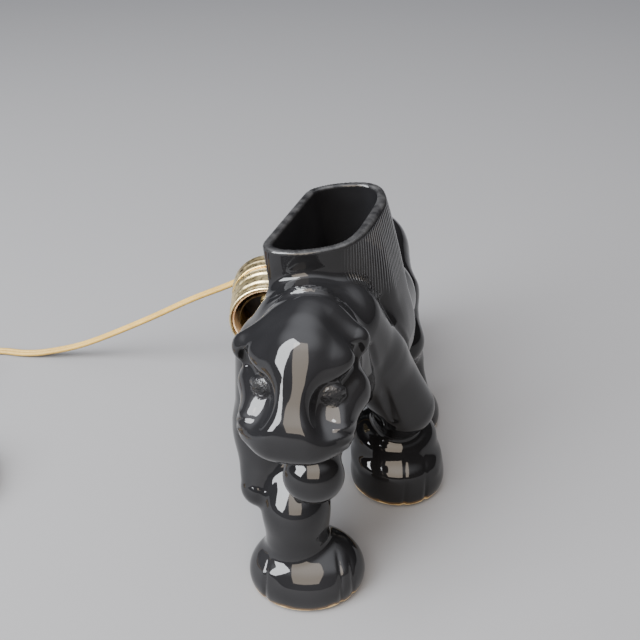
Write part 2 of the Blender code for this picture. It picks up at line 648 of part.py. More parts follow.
def switch():
    """Thumb-wheel cord switch: two halves, a wheel on a screw that holds them together, and two contacts."""
    place = Matrix.Translation(SWITCH_MIDDLE) @ Matrix.Rotation(math.radians(SWITCH_TURN), 4, "Z")
    pivot = place @ Matrix.Translation((0.0, -5.0, 0.0))
    half = 7.35
    base = add("switch_base", mesh_of(slab((SWITCH_LENGTH, 24, half), 9.0, 1.5, -1)), BROWN,
               place @ Matrix.Translation((0, 0, -0.15 - half / 2)))
    cover = add("switch_cover", mesh_of(slab((SWITCH_LENGTH, 24, half), 9.0, 1.5, 1)), BROWN,
                place @ Matrix.Translation((0, 0, 0.15 + half / 2)))
    pocket = cutter("wheel_pocket", cylinder_mesh(10.4, 5.2, 36), pivot)
    hole = cutter("switch_screw_hole", cylinder_mesh(1.8, 30, 16), pivot)
    sink = cutter("switch_screw_sink", cylinder_mesh(3.2, 3.2, 24), pivot @ Matrix.Translation((0, 0, 7.5)))
    for made in (base, cover):
        boolean(made, pocket, "DIFFERENCE")
        for side in (-1, 1):
            room = cutter(f"{made.name}_contact_room_{side}", mesh_of(box_shape((11, 3.6, 3.0))),
                          place @ Matrix.Translation((18.0 * side, 4.0, 0.0)))
            boolean(made, room, "DIFFERENCE")
        boolean(made, hole, "DIFFERENCE")
    boolean(cover, sink, "DIFFERENCE")
    for name, side in (("switch_contact_a", -1), ("switch_contact_b", 1)):
        add(name, mesh_of(box_shape((10.2, 2.8, 2.2))), BRASS,
            place @ Matrix.Translation((18.0 * side, 4.0, 0.0)))
    wheel = bmesh.new()
    bmesh.ops.create_cone(wheel, cap_ends=True, segments=36, radius1=9.8, radius2=9.8, depth=4.4)
    for v in wheel.verts:
        tooth = round(math.degrees(math.atan2(v.co.y, v.co.x)) / 10.0) % 2
        if tooth:
            v.co.x *= 0.955
            v.co.y *= 0.955
    wheel = add("switch_wheel", mesh_of(wheel), PHENOLIC, pivot)
    bore = cutter("wheel_bore", cylinder_mesh(1.8, 10, 20), pivot)
    boolean(wheel, bore, "DIFFERENCE")
    screw = solid_turned("switch_screw", [
        (0.0, 7.2), (2.4, 7.2), (2.8, 6.8), (2.8, 6.2), (1.5, 6.2), (1.5, -7.2), (0.0, -7.2),
    ], BRASS, pivot, 20)
    slot = cutter("switch_screw_slot", mesh_of(box_shape((8, 0.7, 1.2), (0, 0, 7.2))), pivot)
    boolean(screw, slot, "DIFFERENCE")


def plug():
    """Flat two-blade plug. Local +X is the way the blades point."""
    place = Matrix.Translation(PLUG_MIDDLE) @ Matrix.Rotation(math.radians(PLUG_TURN), 4, "Z")
    body = add("plug_body", mesh_of(slab((27.0, 24.0, 14.4), 5.0, 1.6, 1)), BROWN, place)
    for name, side in (("plug_blade_a", -1), ("plug_blade_b", 1)):
        at = place @ Matrix.Translation((17.0, 6.35 * side, 0.0))
        slot = cutter(name + "_slot", mesh_of(box_shape((30.0, 2.1, 7.0))), at)
        boolean(body, slot, "DIFFERENCE")
        blade = add(name, mesh_of(box_shape((26.4, 1.5, 6.4), bevel=0.35, segments=1)), BRASS,
                    at @ Matrix.Translation((0.5, 0.0, 0.0)))
        hole = cutter(name + "_hole", cylinder_mesh(1.6, 6, 16),
                      at @ Matrix.Translation((9.4, 0.0, 0.0)) @ Matrix.Rotation(math.radians(90), 4, "X"))
        boolean(blade, hole, "DIFFERENCE")


def coil():
    """The closed outer shape of the wound length of cord, a ring with eased edges."""
    ease = 1.5
    outer, inner = COIL_RADIUS + COIL_HALF_WIDTH, COIL_RADIUS - COIL_HALF_WIDTH
    turned("cord_coil", [
        (outer - ease, COIL_HEIGHT), (outer, COIL_HEIGHT - ease), (outer, ease), (outer - ease, 0.0),
        (inner + ease, 0.0), (inner, ease), (inner, COIL_HEIGHT - ease), (inner + ease, COIL_HEIGHT),
    ], CORD_VINYL, Matrix.Translation(COIL_MIDDLE), 28)


# ---- the lamp -------------------------------------------------------------------------------------------------
ceramic()
felt_pads()
socket()
socket_mounting()
bracket()
bracket_bolt()
cord_tube("cord_lead", LEAD_ROUTE)
switch()
cord_tube("cord_link", LINK_ROUTE, 7.0)
coil()
cord_tube("cord_tail", TAIL_ROUTE, 7.0)
plug()
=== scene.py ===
"""Looks of a black glazed pottery panther television lamp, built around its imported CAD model.

The figure is sculpted as a distance field: limbs and lumps of clay that melt into each other, cut by hollows and
grooves, then skinned with quads. The socket's sheet metal, the flat cord and the plug are made as finer meshes.
Figure coordinates are in millimetres, as in the part's source: the panther walks towards -X and +Z is up.
"""

import json
import math

import bmesh
import bpy
import numpy as np
from mathutils import Matrix, Vector

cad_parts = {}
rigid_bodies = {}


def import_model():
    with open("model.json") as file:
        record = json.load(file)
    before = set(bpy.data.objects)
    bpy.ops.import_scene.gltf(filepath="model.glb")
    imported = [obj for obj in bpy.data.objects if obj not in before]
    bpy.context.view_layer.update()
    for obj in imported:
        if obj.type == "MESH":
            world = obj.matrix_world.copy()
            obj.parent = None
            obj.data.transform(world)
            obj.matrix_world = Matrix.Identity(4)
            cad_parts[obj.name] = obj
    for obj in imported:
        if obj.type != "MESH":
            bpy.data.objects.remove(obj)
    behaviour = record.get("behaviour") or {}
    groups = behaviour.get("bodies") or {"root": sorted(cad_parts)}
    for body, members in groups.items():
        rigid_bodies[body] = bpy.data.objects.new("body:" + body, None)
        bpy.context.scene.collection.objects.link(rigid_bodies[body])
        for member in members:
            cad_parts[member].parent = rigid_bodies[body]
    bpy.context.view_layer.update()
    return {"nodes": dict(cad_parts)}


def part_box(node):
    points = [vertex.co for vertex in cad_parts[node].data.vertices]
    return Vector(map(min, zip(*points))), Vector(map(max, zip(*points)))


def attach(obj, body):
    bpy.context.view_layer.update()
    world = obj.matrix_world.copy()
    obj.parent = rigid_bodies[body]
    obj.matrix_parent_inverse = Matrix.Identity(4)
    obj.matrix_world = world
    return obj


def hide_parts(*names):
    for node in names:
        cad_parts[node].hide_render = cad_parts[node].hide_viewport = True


MM = 0.001
for thing in list(bpy.data.objects):
    bpy.data.objects.remove(thing, do_unlink=True)
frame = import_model()
NODES = frame["nodes"]
LAMP = "lamp"


def middle(node):
    low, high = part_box(node)
    return (Vector(low) + Vector(high)) / 2


# Where the front right felt pad's middle is in the figure's own coordinates, which gives the frame's origin.
PAD_AT = Vector((-88, 1, 0))
ORIGIN = Vector((*middle("felt_pad_front_right").xy, 0)) - PAD_AT * MM


def placed(point):
    """A point in figure millimetres as a point of the frame in metres."""
    return ORIGIN + Vector(point) * MM


def heading(azimuth, elevation):
    """The direction at an azimuth from +X towards +Y and an elevation, in degrees."""
    a, e = math.radians(azimuth), math.radians(elevation)
    return Vector((math.cos(a) * math.cos(e), math.sin(a) * math.cos(e), math.sin(e)))


def add(name, data):
    made = bpy.data.objects.new(name, data)
    bpy.context.scene.collection.objects.link(made)
    return made


def aim(made, spot, way):
    """Puts a camera or a light at a spot, looking along way."""
    made.location = spot
    made.rotation_euler = way.to_track_quat("-Z", "Y").to_euler()


# ---- camera ----
CAMERA_AT = (-303, -75, 290)
CAMERA_TURN = 18  # degrees from +X towards +Y
CAMERA_PITCH = 33  # degrees below the horizon
CAMERA_LENS = 42.2


def camera():
    data = bpy.data.cameras.new("view")
    data.lens = CAMERA_LENS
    data.sensor_width = 36
    data.clip_start = 0.01
    made = add("view", data)
    aim(made, placed(CAMERA_AT), heading(CAMERA_TURN, -CAMERA_PITCH))
    bpy.context.scene.camera = made


camera()


# ---- materials ----
def fill(node, **sockets):
    """Sets a node's sockets, with underscores for the spaces in their names."""
    for socket, value in sockets.items():
        node.inputs[socket.replace("_", " ")].default_value = value
    return node


class Finish:
    """A procedural material: a Principled shader with helpers that add nodes before it."""

    def __init__(self, name, color, roughness, metallic=0, **sockets):
        self.material = bpy.data.materials.new(name)
        self.material.use_nodes = True
        self.nodes = self.material.node_tree.nodes
        self.link = self.material.node_tree.links.new
        self.shader = fill(self.nodes["Principled BSDF"], Base_Color=(*color, 1), Roughness=roughness,
                           Metallic=metallic, **sockets)
        self.place = self.node("TexCoord").outputs["Object"]
        self.normal = None

    def node(self, kind, **sockets):
        return fill(self.nodes.new("ShaderNode" + kind), **sockets)

    def noise(self, scale, detail=2, stretch=None, distortion=0):
        """Noise of about 1/scale metres a feature, stretched along the axes if asked."""
        made = self.node("TexNoise", Scale=scale, Detail=detail, Distortion=distortion)
        place = self.place
        if stretch:
            mapping = self.node("Mapping", Scale=stretch)
            self.link(self.place, mapping.inputs["Vector"])
            place = mapping.outputs["Vector"]
        self.link(place, made.inputs["Vector"])
        return made.outputs["Fac"]

    def ramp(self, value, low, high, start=0, end=1):
        """Remaps value from low..high to start..end."""
        made = self.node("MapRange", From_Min=low, From_Max=high, To_Min=start, To_Max=end)
        self.link(value, made.inputs["Value"])
        return made.outputs["Result"]

    def math(self, operation, a, b=0, c=0):
        made = self.node("Math")
        made.operation = operation
        for socket, value in zip(made.inputs, (a, b, c)):
            if isinstance(value, (int, float)):
                socket.default_value = value
            else:
                self.link(value, socket)
        return made.outputs["Value"]

    def mix(self, factor, a, b):
        """Mixes two colours, each a tuple or an output."""
        made = self.node("Mix")
        made.data_type = "RGBA"
        self.link(factor, made.inputs["Factor"])
        for socket, value in ((made.inputs[6], a), (made.inputs[7], b)):
            if isinstance(value, tuple):
                socket.default_value = (*value, 1)
            else:
                self.link(value, socket)
        return made.outputs[2]

    def distance(self, centre):
        """How far the point is from a centre, in metres."""
        made = self.node("VectorMath")
        made.operation = "DISTANCE"
        self.link(self.place, made.inputs[0])
        made.inputs[1].default_value = centre
        return made.outputs["Value"]

    def axis(self, name):
        """One coordinate of the point, in metres."""
        made = self.node("SeparateXYZ")
        self.link(self.place, made.inputs["Vector"])
        return made.outputs[name]

    def color(self, output):
        self.link(output, self.shader.inputs["Base Color"])

    def roughness(self, output):
        self.link(output, self.shader.inputs["Roughness"])

    def bump(self, height, distance, strength=1):
        """Adds bump of about distance metres on top of any that is there."""
        made = self.node("Bump", Distance=distance, Strength=strength)
        self.link(height, made.inputs["Height"])
        if self.normal:
            self.link(self.normal, made.inputs["Normal"])
        self.normal = made.outputs["Normal"]
        self.link(self.normal, self.shader.inputs["Normal"])


# The glaze's features, in frame metres.
COMB_PITCH = 0.0023  # of the comb marks that run down from the rim
COMB_BACK = ORIGIN.y + 0.003
COMB_FROM = ORIGIN.x - 0.044
COMB_TO = ORIGIN.x + 0.022
RIM_TOP = 0.1500
EYES = [placed((-103.7, 13.1, 119.5)), placed((-99.9, -13.9, 119.5))]
EYE_EDGE = (0.0046, 0.0034)  # from where the rough glaze over an eye starts to where it is full
BARE_EDGE = (0.0030, 0.0036)  # heights where bare clay gives way to thin amber glaze
AMBER_EDGE = (0.0036, 0.0054)  # heights where amber gives way to black


def black_glaze():
    """Mirror-black glaze: a little uneven, dusty in places, and bare buff clay with an amber edge at the foot."""
    f = Finish("black glaze", (0.006, 0.006, 0.007), 0.045, IOR=1.41)
    east, north, height = f.axis("X"), f.axis("Y"), f.axis("Z")
    dust = f.noise(260, 4)
    black = f.mix(f.ramp(f.noise(22, 3), 0.35, 0.7), (0.0045, 0.0045, 0.005), (0.010, 0.010, 0.011))

    uneven = f.math("MULTIPLY_ADD", f.noise(90, 4, distortion=0.6), 0.0042, -0.0021)
    line = f.math("ADD", height, uneven)
    foot, amber = f.ramp(line, *BARE_EDGE), f.ramp(line, *AMBER_EDGE)
    bare = f.mix(f.noise(400, 3), (0.30, 0.19, 0.075), (0.62, 0.47, 0.24))
    glaze = f.mix(amber, (0.085, 0.045, 0.012), black)
    # A lighter grey band just under the rim: partly thinner glaze on the lip, partly a painted highlight that stands in
    # for the rim's reflections. It also roughens the glaze there.
    rim_thin_glaze_and_highlight = f.math("MULTIPLY", f.ramp(height, RIM_TOP - 0.0012, RIM_TOP - 0.0004), f.ramp(f.noise(180, 4), 0.35, 0.65))
    glaze = f.mix(rim_thin_glaze_and_highlight, glaze, (0.028, 0.028, 0.029))
    f.color(f.mix(foot, bare, glaze))

    gloss = f.math("ADD", f.ramp(dust, 0.5, 0.8, 0.035, 0.085), f.math("MULTIPLY", rim_thin_glaze_and_highlight, 0.12))
    rough = f.node("Mix")
    f.link(foot, rough.inputs["Factor"])
    rough.inputs[2].default_value = 0.55
    f.link(gloss, rough.inputs[3])
    f.roughness(rough.outputs[0])

    f.bump(f.noise(120, 2), 0.00012, 0.5)
    f.bump(dust, 0.00002, 0.4)
    for eye in EYES:
        near = f.ramp(f.distance(eye), *EYE_EDGE)
        f.bump(f.math("MULTIPLY", near, f.noise(650, 4)), 0.0009, 1)

    # Comb marks: thin grooves that waver, fade out downwards and stop short of the rim's edge and the well's ends.
    waver = f.noise(70, 2, (1, 1, 0.2))
    along = f.math("MULTIPLY_ADD", waver, 0.004, f.math("SUBTRACT", east, north))
    wave = f.math("ABSOLUTE", f.math("SINE", f.math("MULTIPLY", along, math.pi / COMB_PITCH)))
    mark = f.math("POWER", f.math("SUBTRACT", 1, wave), 2)
    ragged = f.math("MULTIPLY", f.noise(150, 2, (1, 1, 0.1)), 0.02)
    shown = f.ramp(f.math("ADD", height, ragged), 0.128, 0.142)
    for place, none, full in (
        (north, COMB_BACK, COMB_BACK - 0.003),
        (height, RIM_TOP - 0.0015, RIM_TOP - 0.0025),
        (east, COMB_FROM, COMB_FROM + 0.006),
        (east, COMB_TO, COMB_TO - 0.010),
    ):
        shown = f.math("MULTIPLY", shown, f.ramp(place, none, full))
    f.bump(f.math("MULTIPLY", f.math("MULTIPLY", mark, shown), -1), 0.0006, 1)
    return f.material


def mottled(name, color, rough, patches, shades, gloss, grain, metallic=0, distortion=0):
    """A colour with patches of a second shade, uneven gloss and fine grain, each from a noise's scale and detail."""
    f = Finish(name, color, rough, metallic)
    scale, detail, low, high = patches
    f.color(f.mix(f.ramp(f.noise(scale, detail, distortion=distortion), low, high), *shades))
    scale, detail, low, high = gloss
    f.roughness(f.ramp(f.noise(scale, detail), 0.3, 0.7, low, high))
    scale, detail, metres, strength = grain
    f.bump(f.noise(scale, detail), metres, strength)
    return f.material


def board():
    """Tan fibre board, with paper fibres and a darker smear of age."""
    f = Finish("fibre board", (0.55, 0.36, 0.19), 0.85)
    fibres = f.noise(700, 4, stretch=(1, 1, 0.25))
    aged = f.mix(f.ramp(f.noise(90, 3), 0.35, 0.7), (0.60, 0.41, 0.23), (0.36, 0.21, 0.10))
    f.color(f.mix(f.ramp(fibres, 0.45, 0.8), aged, (0.70, 0.54, 0.34)))
    f.bump(fibres, 0.00012, 0.7)
    return f.material


def gold_vinyl():
    """Aged clear-gold vinyl, its copper strands showing faintly through."""
    f = Finish("gold vinyl", (0.50, 0.36, 0.14), 0.45, IOR=1.3)
    strands = f.ramp(f.noise(900, 3), 0.4, 0.7)
    aged = f.mix(f.ramp(f.noise(35, 3), 0.35, 0.7), (0.30, 0.19, 0.045), (0.21, 0.13, 0.03))
    f.color(f.mix(f.math("MULTIPLY", strands, 0.35), aged, (0.42, 0.29, 0.09)))
    f.roughness(f.ramp(f.noise(300, 3), 0.3, 0.7, 0.40, 0.55))
    f.bump(f.noise(1300, 2), 0.00004, 0.5)
    return f.material


def fibrous(name, color, rough, fibres, shades, metres, strength, **sockets):
    """Two shades that follow raised fibres: a noise's scale, detail and distortion, and its low and high."""
    f = Finish(name, color, rough, **sockets)
    scale, detail, distortion, low, high = fibres
    hair = f.noise(scale, detail, distortion=distortion)
    f.color(f.mix(f.ramp(hair, low, high), *shades))
    f.bump(hair, metres, strength)
    return f.material


GLAZE = black_glaze()
BOARD = board()
VINYL = gold_vinyl()
FELT = fibrous(
    "ochre felt", (0.42, 0.30, 0.09), 0.95, (2200, 4, 1.2, 0.3, 0.75), ((0.30, 0.20, 0.06), (0.55, 0.41, 0.16)), 0.0002,
    0.9, Sheen_Weight=0.4, Sheen_Roughness=0.6,
)
TIE = fibrous(
    "paper tie", (0.72, 0.68, 0.58), 0.8, (600, 4, 0, 0.35, 0.7), ((0.76, 0.72, 0.62), (0.55, 0.50, 0.40)), 0.0001, 0.8,
)
# Pale gilt plating on thin sheet, with brown tarnish that gathers in patches.
GILT = mottled(
    "gilt metal", (0.72, 0.64, 0.43), 0.3, (140, 5, 0.52, 0.78), ((0.76, 0.63, 0.36), (0.36, 0.24, 0.10)),
    (420, 4, 0.22, 0.42), (900, 2, 0.00003, 0.5), metallic=1, distortion=0.4,
)
BRASS = mottled(
    "bare brass", (0.70, 0.52, 0.22), 0.3, (260, 5, 0.4, 0.75), ((0.74, 0.56, 0.25), (0.36, 0.22, 0.09)),
    (500, 3, 0.2, 0.45), (1500, 2, 0.00002, 0.5), metallic=1,
)
# The bulb's screw thread inside the socket, coloured very dark brown: painted shade for the shadowed inside of the
# socket's mouth.
SHADE_DARKENED_BRASS = mottled(
    "shade darkened brass", (0.10, 0.065, 0.03), 0.5, (300, 5, 0.4, 0.7), ((0.12, 0.08, 0.035), (0.04, 0.025, 0.015)),
    (500, 3, 0.4, 0.65), (1500, 2, 0.00002, 0.5), metallic=1,
)
# Zinc plate: a fine spangle with grey patches.
ZINC = mottled(
    "zinc steel", (0.55, 0.55, 0.56), 0.35, (180, 5, 0.35, 0.7), ((0.62, 0.62, 0.63), (0.36, 0.35, 0.33)),
    (700, 3, 0.28, 0.5), (1200, 3, 0.00003, 0.6), metallic=1,
)
PHENOLIC = mottled(
    "phenolic", (0.02, 0.016, 0.014), 0.35, (300, 4, 0.35, 0.75), ((0.014, 0.012, 0.011), (0.045, 0.034, 0.028)),
    (260, 3, 0.28, 0.48), (1400, 2, 0.00003, 0.6),
)
# Marbled dark brown moulding with a fine sparkle texture.
BROWN = mottled(
    "brown plastic", (0.10, 0.045, 0.022), 0.32, (120, 5, 0.4, 0.65), ((0.070, 0.029, 0.014), (0.095, 0.042, 0.020)),
    (380, 3, 0.24, 0.42), (1600, 3, 0.00004, 0.7), distortion=1.6,
)


def finish_node(node, material):
    """Gives a better material to a CAD node that stays as it is."""
    made = NODES[node]
    made.data.materials.clear()
    made.data.materials.append(material)


def piece(name, mesh, material, replaces=()):
    """Links a mesh in frame metres as a piece that rides on the lamp."""
    made = add(name, mesh)
    mesh.materials.clear()
    mesh.materials.append(material)
    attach(made, LAMP)
    if replaces:
        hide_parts(*replaces)
    return made


# ---- distance field ----
# A field function takes points as an (N, 3) array in figure millimetres and gives each one's distance to the
# surface, negative inside.
FAR = 1000.0


def limb(points, start, end):
    """A tapered limb between two balls, each (x, y, z, radius)."""
    a, b = np.array(start[:3], np.float32), np.array(end[:3], np.float32)
    along = b - a
    arm = points - a
    share = np.clip(arm @ along / (along @ along), 0, 1)
    arm -= share[:, None] * along
    return np.sqrt(np.einsum("ij,ij->i", arm, arm)) - (start[3] + (end[3] - start[3]) * share)


def turned_points(points, centre, turn):
    """Points in a frame at centre, turned by turn degrees about Z."""
    place = Matrix.Rotation(math.radians(turn), 3, "Z")
    return (points - np.array(centre, np.float32)) @ np.array(place, np.float32)


def oval(points, centre, half, turn=0):
    """An ellipsoid with the given half sizes."""
    local = turned_points(points, centre, turn)
    half = np.array(half, np.float32)
    near = np.linalg.norm(local / half, axis=1)
    return near * (near - 1) / np.maximum(np.linalg.norm(local / half**2, axis=1), 1e-6)


def block(points, centre, half, rounding):
    """A box with rounded edges."""
    local = np.abs(points - np.array(centre, np.float32)) - (np.array(half, np.float32) - rounding)
    outside = np.linalg.norm(np.maximum(local, 0), axis=1)
    return outside + np.minimum(local.max(axis=1), 0) - rounding


def melt(a, b, blend):
    """The union of two fields, joined by a fillet of about blend."""
    overlap = np.maximum(blend - np.abs(a - b), 0) / blend
    return np.minimum(a, b) - overlap * overlap * blend / 4


def carve(a, b, blend):
    """Field a with b cut out of it, its edges eased by about blend."""
    return -melt(-a, b, blend)


def groove(points, field, path, width, depth):
    """Presses a groove of the given width and depth into a field's surface, along a path of points."""
    away = np.full(len(points), FAR, np.float32)
    for start, end in zip(path, path[1:]):
        away = np.minimum(away, limb(points, (*start, 0), (*end, 0)))
    return field + depth * np.exp(-(away / width) ** 2)


def near_box(points, low, high, reach, shape, *rest):
    """Evaluates shape(points, *rest) within reach of a box, and takes the distance to the box further away."""
    low, high = np.array(low, np.float32), np.array(high, np.float32)
    outside = np.linalg.norm(np.maximum(np.maximum(low - points, points - high), 0), axis=1)
    close = outside < reach
    outside[close] = shape(points[close], *rest)
    return outside


# ---- the figure's limbs and paws ----
# A chain runs from stop to stop, each (x, y, z, radius).
TRUNK = [
    [(-46, 12, 92, 25), (0, 8, 76, 24), (58, 17, 82, 24), (71, 18, 88, 24)],
    [(-62, 8, 112, 25), (-46, 12, 96, 25)],
    [(-50, 8, 100, 26), (-52, 8, 74, 21)],
    [(-10, 3, 92, 25), (24, 4, 86, 24)],
]
FORE_RIGHT = [(-60, 20, 104, 21), (-66, 24, 68, 17), (-82, 24, 46, 9.5)]
SHIN_RIGHT = [(-66, 16, 62, 13), (-83.5, 7.5, 40, 14), (-86, 6, 22, 14.5)]
FORE_LEFT = [(-47, 0, 116, 19), (-31, -9, 90, 17), (-20, -27, 56, 14)]
HIND_LEFT = [(66, 13, 86, 19), (50, -2, 76, 14), (25, -14, 62, 11), (52, -11, 34, 10), (43, -19, 15, 10)]
HIND_RIGHT = [(68, 26, 78, 21), (40, 36, 46, 12), (64, 38, 26, 9), (52, 40, 14, 10)]
TAIL = [(88, 17, 98, 9), (102, 20, 72, 8), (98, 29, 38, 7.5), (86, 41, 14, 8), (62, 50, 11, 9)]
# Each chain with the box around it, low and high corner, and how softly it melts into the rest.
LIMBS = [
    (FORE_RIGHT, (-96, -8, 32), (-38, 42, 126), 4),
    (SHIN_RIGHT, (-100, -14, 8), (-48, 32, 78), 3),
    (FORE_LEFT, (-68, -43, 38), (-3, 22, 138), 3),
    (HIND_LEFT, (12, -34, 4), (88, 34, 106), 4),
    (HIND_RIGHT, (27, 4, 3), (90, 51, 100), 6),
    (TAIL, (53, 8, 2), (110, 59, 107), 4),
]
HEAD_BOX = ((-126, -36, 62), (-40, 45, 146))
FOREARM_BOX = ((-34, -45, 14), (10, 2, 63))
PLANTER_BOX = ((-62, -36, 78), (32, 40, 156))
PAW_REACH = 28  # half the side of the cube around a paw
# Each paw is an oval cushion: centre, half sizes across, along and up, the direction it points in degrees, and
# where the creases between its toes lie, across it in half widths.
PAWS = {
    "front_right": ((-88, 1, 7), (26.5, 21, 18.5), 18, (-0.74, 0.6, 0.84)),
    "front_left": ((-14, -24, 7), (24.5, 22, 17), 18, (0.08, 0.54)),
    "hind_left": ((36, -21, 6), (16, 19, 15), 8, (-0.3, 0.3)),
    "hind_right": ((46, 41, 6), (15, 20, 15), -6, (-0.3, 0.3)),
}
SOLE_HEIGHT = 1.8
RIM_HEIGHT = 150
TOE_CREASE = 0.7  # how deep the creases are
KNUCKLES = (12, 10.5)  # how far ahead of a paw's middle, and above it, its knuckles stand
KNUCKLE_RISE = 0.8


def chain(points, stops, blend):
    """Tapered limbs from stop to stop, melted together."""
    field = limb(points, stops[0], stops[1])
    for start, end in zip(stops[1:], stops[2:]):
        field = melt(field, limb(points, start, end), blend)
    return field


def paw(points, centre, half, turn, gaps):
    """A paw with creases between its toes, which fade out on its top."""
    field = oval(points, centre, (half[1], half[0], half[2]), turn)
    local = turned_points(points, centre, turn)
    forward = -local[:, 0] / half[1]
    across = -local[:, 1] / half[0]
    for gap in gaps:  # the creases draw together towards the back, and start ahead of the middle
        spread = across - gap * (0.8 + 0.2 * np.clip(forward, 0, 1))
        front = np.clip((forward - 0.15) / 0.4, 0, 1)
        field = field + TOE_CREASE * front * np.exp(-(spread * half[0]) ** 2)
    knuckles = np.hypot(forward * half[1] - KNUCKLES[0], local[:, 2] - KNUCKLES[1])
    return field - KNUCKLE_RISE * np.exp(-(knuckles / 3) ** 2)


def left_forearm(points):
    """The folded forearm that rests on the left front paw."""
    field = oval(points, (-9, -20, 27.5), (20, 22, 12.5), 18)
    field = melt(field, oval(points, (-12, -22, 19), (22.5, 22.5, 9), 18), 6)
    return melt(field, limb(points, (-14, -22, 46, 12), (-9, -20, 30, 12)), 4)


# ---- the head ----
# The head has its own axes: across, to the panther's left; ahead, out of its face; and up.
HEAD_AT = (-84.7, 3.8)
HEAD_TURN = math.radians(18)
FACE_TURN = math.radians(10)
FACE_SHIFT = 1.8  # how far across the head the face's middle is
WHISKER_PITCH = 3
WHISKER_RISE = 0.35
# Ears: root and tip, each (across, ahead, up, radius).
EARS = [((-8, -6, 130, 8), (-20, -2.5, 126, 6.2)), ((11, -6, 131, 8), (21, -2.5, 129, 5.6))]
# Folds of skin over the neck: how far ahead they lie, and the middle and half width of their run across.
FOLDS = (-13.4, -17.2, -21)
FOLD_MIDDLE, FOLD_REACH = 2.5, 11.5
FOLD_RISE = 2


def head_points(points):
    """Figure points in the head's axes."""
    east, north = points[:, 0] - HEAD_AT[0], points[:, 1] - HEAD_AT[1]
    c, s = math.cos(HEAD_TURN), math.sin(HEAD_TURN)
    return np.stack([s * east - c * north, -c * east - s * north, points[:, 2]], axis=1).astype(np.float32)


def face_points(p):
    """Head points seen from the face, which looks a little to its own right."""
    c, s = math.cos(FACE_TURN), math.sin(FACE_TURN)
    across = p[:, 0] - FACE_SHIFT
    return np.stack([c * across + s * p[:, 1], -s * across + c * p[:, 1], p[:, 2]], axis=1).astype(np.float32)


def face(q):
    """Skull, brow, bridge, muzzle and cheeks, with hollows for the eyes."""
    skull = melt(oval(q, (0, 1, 121), (16.5, 22.5, 23.4)), oval(q, (0, -9, 124), (18, 17, 20)), 4)
    field = melt(skull, oval(q, (0, 8, 129.5), (20, 11.8, 9)), 5)
    for side in (-1, 1):
        cheek = limb(q, (15.5 * side, 3, 111, 10.5), (11 * side, 17, 106.5, 9))
        field = melt(field, cheek, 5)
        bridge = limb(q, (2.6 * side, 12, 134, 6.6), (3.2 * side, 26.4, 112.5, 6.6))
        field = melt(field, bridge, 4)
    lips = oval(q, (0, 20, 104.8), (21.5, 15, 12.2))
    nose = block(q, (0, 22.8, 106.5), (13.5, 11.5, 8.4), 7)
    field = melt(field, melt(lips, nose, 5), 6)
    for side in (-1, 1):
        field = carve(field, oval(q, (14.2 * side, 28.6, 119.5), (6, 9.5, 8.4), -22 * side), 5.5)
        eye = oval(q, (13.8 * side, 15.9, 119.8), (4.8, 2, 3), -25 * side)
        field = melt(field, eye, 2.5)
        pad = np.exp(-(((q[:, 0] - 18.5 * side) / 4.5) ** 4)) * np.exp(-(((q[:, 1] - 22) / 7) ** 4))
        for k in range(4):
            line = q[:, 2] - 104.5 + WHISKER_PITCH * k - 0.25 * q[:, 1]
            field = field - WHISKER_RISE * pad * np.exp(-(line / 0.7) ** 2)
    return field


def head(points):
    """The head with its neck, jaw, chin and ears."""
    p = head_points(points)
    neck = limb(p, (3, -6, 118.5, 19.5), (3, -27, 117, 22))
    field = melt(face(face_points(p)), neck, 5)
    jaw = chain(p, [(4, -12, 98, 18), (4, 10, 89, 12), (5.5, 14.5, 80.5, 9)], 5)
    chin = oval(p, (5, 18.5, 79), (12.2, 10.5, 12))
    field = melt(field, melt(jaw, chin, 2), 2)
    for root, tip in EARS:
        field = melt(field, limb(p, root, tip), 5)
        side = np.sign(tip[0])
        hollow = (tip[0] + 0.5 * side, tip[1] + 6.8, tip[2] - 2)
        field = carve(field, oval(p, hollow, (2.2, 3.6, 4.2), 20 * side), 2.5)
    across = (p[:, 0] - FOLD_MIDDLE) / FOLD_REACH
    rise = np.clip((p[:, 2] - 128) / 6, 0, 1)
    for ahead in FOLDS:
        fold = p[:, 1] - ahead + 1.8 * across * across
        field = field - FOLD_RISE * rise * np.exp(-(fold / 1.3) ** 2) * np.exp(-across ** 4)
    return field


# ---- the planter ----
# The plan outline of the rim, outside of its wall, before its corners are rounded.
RIM_CORNERS = [
    (-49, 35), (-57, 27.5), (-56.5, 16.5), (-45, -0.5), (-35, -5.5),
    (11.5, -6), (24, 0.5), (26, 8.5), (18.5, 24.5), (6, 34),
]
RIM_ROUNDING = 2
WALL = 3.7
WELL_FLOOR = 64
OUTSIDE_FLOOR = 80  # how low the planter's outside reaches into the body
BACK_FACE = 24  # y of the flat back that the bracket is bolted to
BACK_LEAN_FROM = 104  # above this height the back leans outwards
BACK_LEAN = 8  # by this much at the rim
BACK_SLOPE = BACK_LEAN / (RIM_HEIGHT - BACK_LEAN_FROM)
FRONT_LEAN = 3 / 60
FLARE_AXIS = 14  # y that the display side flares away from
FLARE = 0.78  # its share at FLARE_BOTTOM
FLARE_BOTTOM = 103
BAY = ((5, BACK_FACE + 25, 97), (53, 25, 33), 8)  # the cut behind the planter for the socket
BOLT_AT = (2, 90.4)  # x and z of the bracket bolt's hole
BOLT_HOLE = 2.4
BOLT_FROM = 15
# Creases on the display side, in front of the near upper arm and behind it.
CREASES = [
    [(-58, -17, 113), (-51, -20, 93), (-42.5, -21.5, 78), (-36.5, -24.5, 59)],
    [(-26, -14, 117), (-24.5, -21, 103), (-14, -25.5, 84), (-7, -29, 66)],
]
CREASE_WIDTH, CREASE_DEPTH = 2, 1.7


def ease(share):
    """Rises smoothly from 0 to 1 while share does."""
    share = np.clip(share, 0, 1)
    return share * share * (3 - 2 * share)


